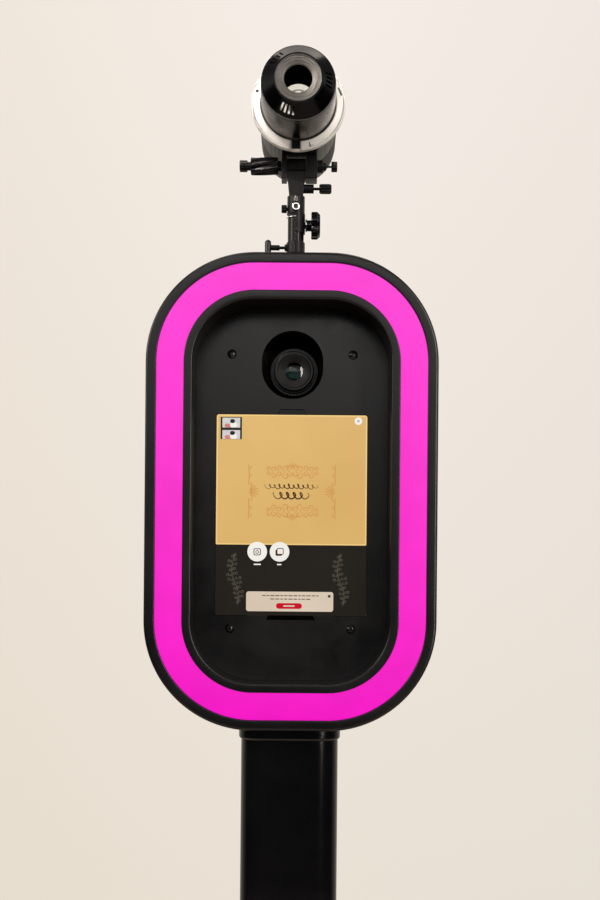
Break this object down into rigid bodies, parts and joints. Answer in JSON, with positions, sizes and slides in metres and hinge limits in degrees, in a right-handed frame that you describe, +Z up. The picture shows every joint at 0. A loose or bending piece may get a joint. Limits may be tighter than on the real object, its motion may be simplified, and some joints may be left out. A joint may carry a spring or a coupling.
{
  "type": "photo booth",
  "caption": "Free-standing photo booth: lit round-cornered head with tablet and camera on a flat post and base, and a studio flash with snoot on a tilting bracket above.",
  "frame": {"origin": "on the floor under the centre of the base plate", "axes": "+Z up along the post, -Y the side that faces the guest, +X to the right as the guest sees it"},
  "size_m": [0.44, 0.4, 1.8704],
  "materials": {
    "powder_coated_steel": "fine-textured black powder coat",
    "painted_post": "smooth satin black paint",
    "galvanised_steel": "bare zinc-coated sheet",
    "rubber": "moulded rubber",
    "black_screws": "black oxide",
    "zinc_screws": "zinc plated",
    "satin_shell": "satin moulded shell",
    "white_tray": "white reflective paint",
    "lamp_strip": "printed strip with lamps",
    "diffuser": "lit opal acrylic",
    "panel_matte": "matt painted panel",
    "tablet_metal": "bead blasted",
    "tablet_glass": "lit touch glass",
    "black_nylon": "moulded nylon",
    "camera_black": "textured camera finish",
    "camera_trim": "fine turned metal",
    "lens_glass": "coated optical glass",
    "lock_metal": "plated lock",
    "cast_bracket": "black painted casting",
    "mast_black": "black anodised tube",
    "chrome": "polished plating",
    "knob_plastic": "moulded knob plastic",
    "strobe_grey": "grey metallic paint",
    "strobe_panel": "moulded control panel",
    "ring_aluminium": "satin turned aluminium",
    "dark_polish": "polished dark metal",
    "gloss_black": "gloss black paint",
    "aperture_grey": "spun aluminium",
    "lamp_glass": "frosted lamp glass"
  },
  "bodies": {
    "stand": {"base_plate": "powder_coated_steel", "base_feet": "rubber", "base_socket": "powder_coated_steel", "base_bolts": "black_screws", "post_lower": "painted_post", "post_upper": "painted_post", "post_sleeve": "galvanised_steel", "power_inlet": "black_nylon", "post_collar": "painted_post", "head_bolts": "zinc_screws", "outer_frame": "satin_shell", "inner_frame": "satin_shell", "led_tray": "white_tray", "led_strips": "lamp_strip", "led_diffuser": "diffuser", "chassis_plate": "galvanised_steel", "chassis_screws": "zinc_screws", "panel_spacers": "zinc_screws", "face_panel": "panel_matte", "panel_screws": "black_screws", "tablet_body": "tablet_metal", "tablet_glass": "tablet_glass", "tablet_clips": "black_nylon", "camera_body": "camera_black", "lens_barrel": "camera_black", "lens_ring": "camera_trim", "lens_glass": "lens_glass", "camera_shelf": "powder_coated_steel", "power_supply": "galvanised_steel", "hinge_leaves": "zinc_screws", "hinge_pins": "zinc_screws", "mast_socket": "cast_bracket", "mast_screws": "black_screws"},
    "post_knob": {"post_knob": "black_nylon"},
    "power_rocker": {"power_rocker": "black_nylon"},
    "focus_ring": {"focus_ring": "camera_black"},
    "shutter_button": {"shutter_button": "camera_trim"},
    "mode_dial": {"mode_dial": "camera_black"},
    "rear_door": {"rear_door": "satin_shell"},
    "door_lock": {"door_lock": "lock_metal"},
    "mast_lever": {"mast_lever": "knob_plastic"},
    "mast": {"mast_tube": "mast_black"},
    "swivel": {"tilt_bracket": "cast_bracket", "spigot_ring": "chrome"},
    "star_knob": {"star_knob": "knob_plastic"},
    "spigot_knob": {"spigot_knob": "knob_plastic"},
    "umbrella_knob": {"umbrella_knob": "knob_plastic"},
    "flash": {"tilt_yoke": "cast_bracket", "strobe_body": "strobe_grey", "mount_ring": "ring_aluminium", "flash_lamp": "lamp_glass", "strobe_panel": "strobe_panel"},
    "tilt_handle": {"tilt_handle": "knob_plastic"},
    "release_latch": {"release_latch": "knob_plastic"},
    "snoot": {"snoot_tube": "dark_polish", "snoot_shell": "gloss_black", "snoot_aperture": "aperture_grey"},
    "strobe_dial": {"strobe_dial": "black_nylon"},
    "test_button": {"test_button": "black_nylon"},
    "fan": {"fan_rotor": "black_nylon"}
  },
  "joints": [
    {"name": "post_knob_turn", "type": "hinge", "parent": "stand", "child": "post_knob", "pos_m": [0, 0.04, 0.565], "axis": [0, 1, 0], "continuous": true},
    {"name": "power_rocker_tilt", "type": "hinge", "parent": "stand", "child": "power_rocker", "pos_m": [0, 0.03, 0.17], "axis": [1, 0, 0], "range_deg": [-12, 0]},
    {"name": "focus_turn", "type": "hinge", "parent": "stand", "child": "focus_ring", "pos_m": [0.0018, 0.005, 1.4653], "axis": [0, 1, 0], "continuous": true},
    {"name": "shutter_press", "type": "slide", "parent": "stand", "child": "shutter_button", "axis": [0, 0, -1], "range_m": [0, 0.001], "stiffness_N_per_m": 300},
    {"name": "mode_dial_turn", "type": "hinge", "parent": "stand", "child": "mode_dial", "pos_m": [0.0418, 0.043, 1.5023], "axis": [0, 0, 1], "continuous": true},
    {"name": "door_swing", "type": "hinge", "parent": "stand", "child": "rear_door", "pos_m": [-0.191, 0.07815, 1.3], "axis": [0, 0, 1], "range_deg": [0, 110]},
    {"name": "door_lock_turn", "type": "hinge", "parent": "rear_door", "child": "door_lock", "pos_m": [0.15, 0.08, 1.3], "axis": [0, 1, 0], "range_deg": [0, 90]},
    {"name": "mast_lever_turn", "type": "hinge", "parent": "stand", "child": "mast_lever", "pos_m": [-0.0176, 0.0175, 1.6366], "axis": [1, 0, 0], "range_deg": [-90, 90]},
    {"name": "mast_slide", "type": "slide", "parent": "stand", "child": "mast", "axis": [0, 0, 1], "range_m": [0, 0.07]},
    {"name": "swivel_pan", "type": "hinge", "parent": "mast", "child": "swivel", "pos_m": [0.0024, 0.0175, 1.69], "axis": [0, 0, 1], "continuous": true},
    {"name": "star_knob_turn", "type": "hinge", "parent": "swivel", "child": "star_knob", "pos_m": [0.0224, 0.0175, 1.6666], "axis": [1, 0, 0], "continuous": true},
    {"name": "spigot_knob_turn", "type": "hinge", "parent": "swivel", "child": "spigot_knob", "pos_m": [-0.0126, 0.0175, 1.689], "axis": [1, 0, 0], "continuous": true},
    {"name": "umbrella_knob_turn", "type": "hinge", "parent": "swivel", "child": "umbrella_knob", "pos_m": [0.0324, 0.0175, 1.7165], "axis": [1, 0, 0], "continuous": true},
    {"name": "flash_tilt", "type": "hinge", "parent": "swivel", "child": "flash", "pos_m": [0.0024, 0.0175, 1.7465], "axis": [1, 0, 0], "range_deg": [-45, 60]},
    {"name": "tilt_handle_turn", "type": "hinge", "parent": "flash", "child": "tilt_handle", "pos_m": [-0.0276, 0.0175, 1.7465], "axis": [1, 0, 0], "continuous": true},
    {"name": "latch_slide", "type": "slide", "parent": "flash", "child": "release_latch", "axis": [0, 0, -1], "range_m": [0, 0.003], "stiffness_N_per_m": 400},
    {"name": "snoot_twist", "type": "hinge", "parent": "flash", "child": "snoot", "pos_m": [0.0046, -0.06, 1.809], "axis": [0, 1, 0], "range_deg": [0, 25]},
    {"name": "strobe_dial_turn", "type": "hinge", "parent": "flash", "child": "strobe_dial", "pos_m": [-0.0174, 0.125, 1.811], "axis": [0, 1, 0], "range_deg": [0, 300]},
    {"name": "test_press", "type": "slide", "parent": "flash", "child": "test_button", "axis": [0, -1, 0], "range_m": [0, 0.0015], "stiffness_N_per_m": 300},
    {"name": "fan_spin", "type": "hinge", "parent": "flash", "child": "fan", "pos_m": [0.0046, 0.104, 1.833], "axis": [0, 1, 0], "continuous": true}
  ]
}
